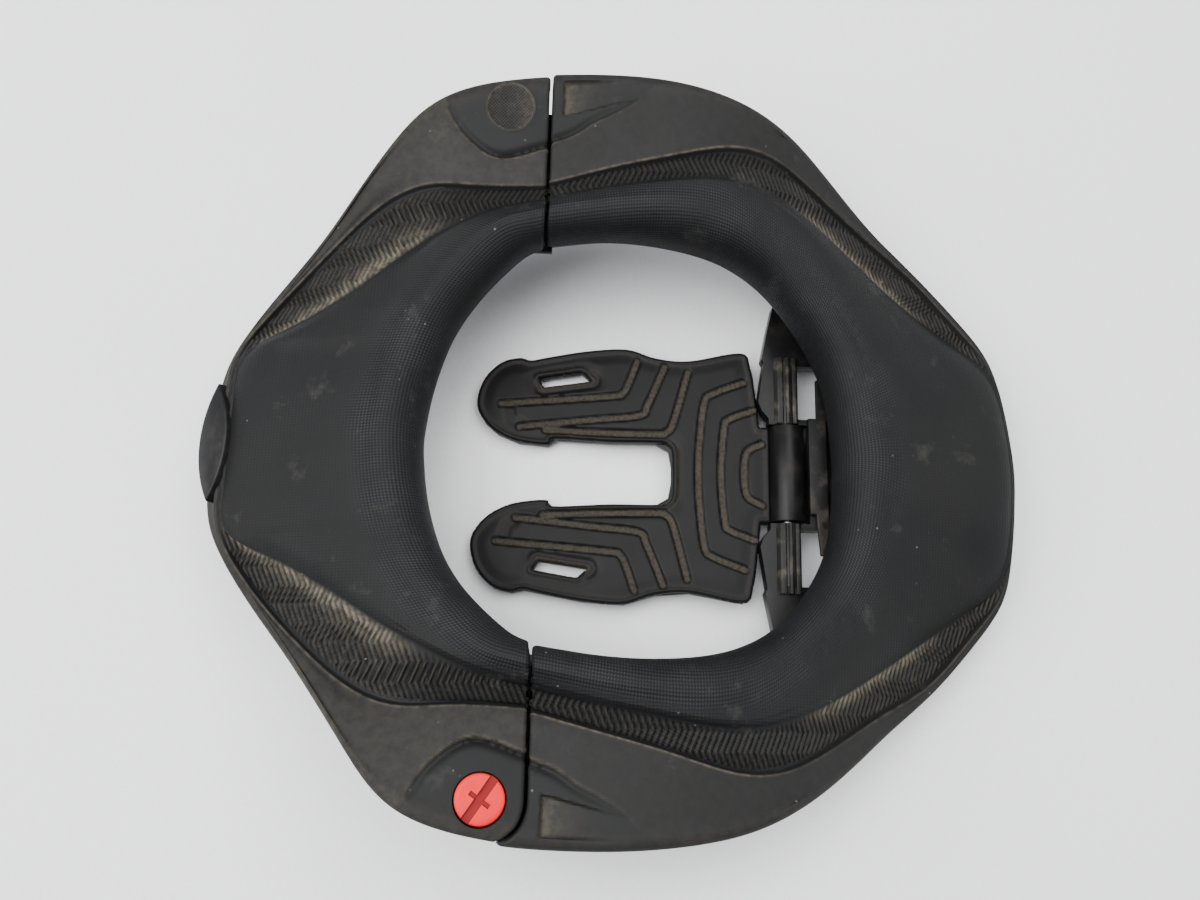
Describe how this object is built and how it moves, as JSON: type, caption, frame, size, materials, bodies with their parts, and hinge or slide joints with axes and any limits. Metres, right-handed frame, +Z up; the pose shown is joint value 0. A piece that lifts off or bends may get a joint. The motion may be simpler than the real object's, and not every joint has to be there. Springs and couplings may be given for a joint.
{
  "type": "motocross neck brace",
  "caption": "Padded ring-shaped neck brace in two hinged halves, with a coin-slot release pin, a hinged forked back strut and an open neck hole.",
  "frame": {"origin": "centre of the bounding box, on the surface that the brace lies on", "axes": "+Z up, -Y towards the front of the brace, +X towards the wearer's left, where the release pin is"},
  "size_m": [0.33, 0.375, 0.0956],
  "materials": {
    "foam": "matte moulded foam with a fine weave, dusty in its creases",
    "chassis": "moulded black plastic, satin",
    "pad": "ribbed moulded pad, satin",
    "release_red": "red, slightly glossy",
    "rod_steel": "plain steel"
  },
  "bodies": {
    "rear_half": {"rear_foam": "foam", "rear_chassis": "chassis", "hinge_bracket": "chassis", "lock_bar": "chassis", "hinge_rod": "rod_steel"},
    "front_half": {"front_foam": "foam", "front_chassis": "chassis", "badge": "chassis"},
    "pin": {"release_pin": "release_red"},
    "strut": {"strut_plate": "chassis", "strut_pad": "pad"}
  },
  "joints": [
    {"name": "ring_hinge", "type": "hinge", "parent": "rear_half", "child": "front_half", "pos_m": [0.147, -0.05386, 0.06], "axis": [0, 0, 1], "range_deg": [0, 60]},
    {"name": "release_turn", "type": "hinge", "parent": "rear_half", "child": "pin", "pos_m": [0.147, -0.05386, 0.06], "axis": [0, 0, 1], "range_deg": [0, 90]},
    {"name": "strut_hinge", "type": "hinge", "parent": "rear_half", "child": "strut", "pos_m": [0, 0.08303, 0.0195], "axis": [1, 0, 0], "range_deg": [0, 90]}
  ]
}
